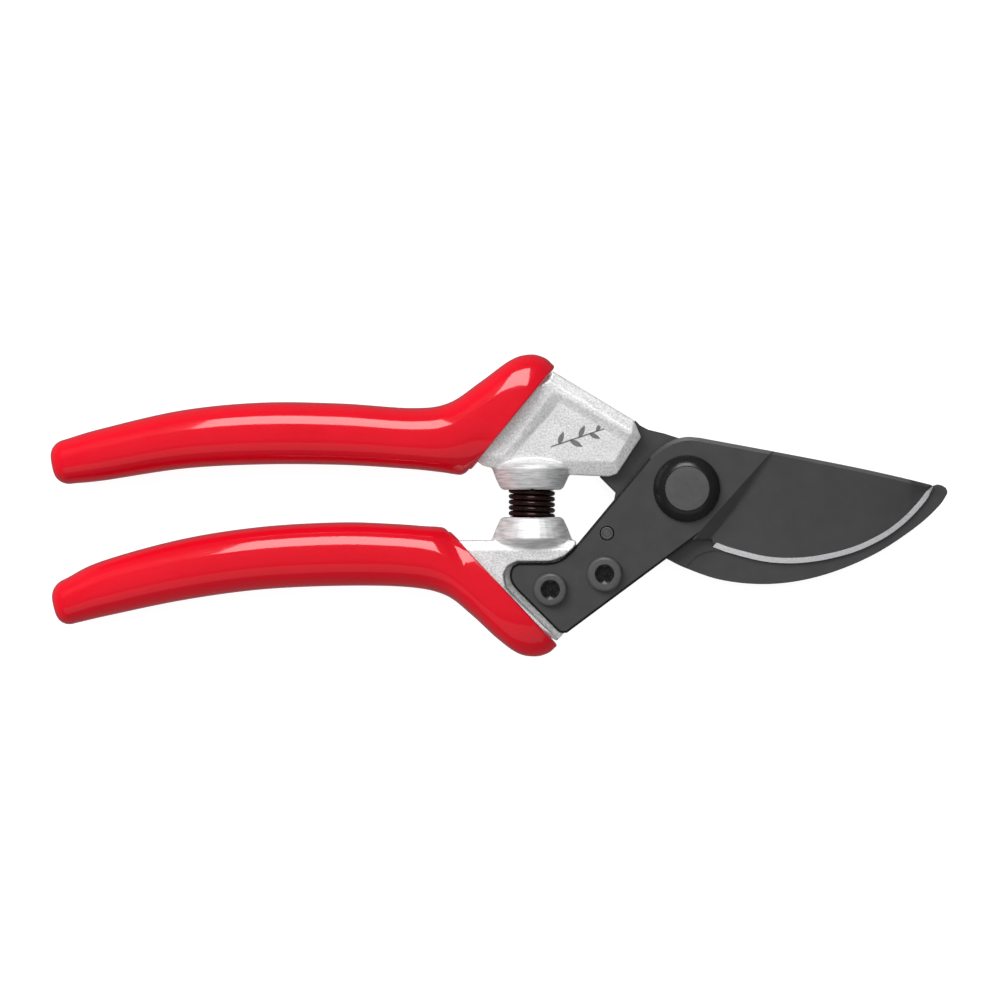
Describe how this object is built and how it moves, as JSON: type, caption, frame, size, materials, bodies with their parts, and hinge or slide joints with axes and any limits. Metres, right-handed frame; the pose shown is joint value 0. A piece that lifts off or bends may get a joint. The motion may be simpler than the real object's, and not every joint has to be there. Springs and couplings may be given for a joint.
{
  "type": "bypass pruner",
  "caption": "Hand pruner with a bolted cutting blade that passes a hooked counter-blade, red gripped aluminium handles, a return spring and a thumb latch.",
  "frame": {"origin": "on the pivot's axis, at the back end of the pivot bolt, which the tool lies on", "axes": "+X from the pivot to the tip of the closed jaws, +Y across the tool towards the handle that carries the counter-blade, +Z out of the front face along the pivot"},
  "size_m": [0.2158, 0.0724, 0.0177],
  "materials": {
    "forged_aluminium": "satin, forged and blasted",
    "red_sleeve": "gloss, dipped vinyl",
    "blackened_steel": "satin black coating on steel",
    "black_fastener": "black oxide",
    "bright_steel": "zinc plated",
    "spring_steel": "oiled dark brown steel",
    "bronze": "plain bearing bronze",
    "nylon": "blue nylon"
  },
  "bodies": {
    "lower_handle": {"lower_frame": "forged_aluminium", "lower_grip": "red_sleeve", "cutting_blade": "blackened_steel", "blade_screw_rear": "black_fastener", "blade_screw_front": "black_fastener", "pivot_bolt": "black_fastener", "pivot_nut": "black_fastener", "pivot_nut_ring": "nylon", "pivot_washer": "bright_steel", "lock_pin": "black_fastener", "lock_washer": "bright_steel", "return_spring": "spring_steel"},
    "upper_handle": {"upper_frame": "forged_aluminium", "upper_grip": "red_sleeve", "counter_blade": "blackened_steel", "counter_screw_rear": "black_fastener", "counter_screw_front": "black_fastener", "lock_stud": "black_fastener", "pivot_bush": "bronze"},
    "latch": {"lock_lever": "bright_steel"}
  },
  "joints": [
    {"name": "main_pivot", "type": "hinge", "parent": "lower_handle", "child": "upper_handle", "pos_m": [0, 0, 0.009], "axis": [0, 0, -1], "range_deg": [0, 36], "stiffness_Nm_per_rad": 1.05, "springref_deg": 54.43, "deforming": ["return_spring"]},
    {"name": "lock_pivot", "type": "hinge", "parent": "lower_handle", "child": "latch", "pos_m": [-0.0191, -0.0107, 0.0022], "axis": [0, 0, 1], "range_deg": [0, 14]}
  ]
}
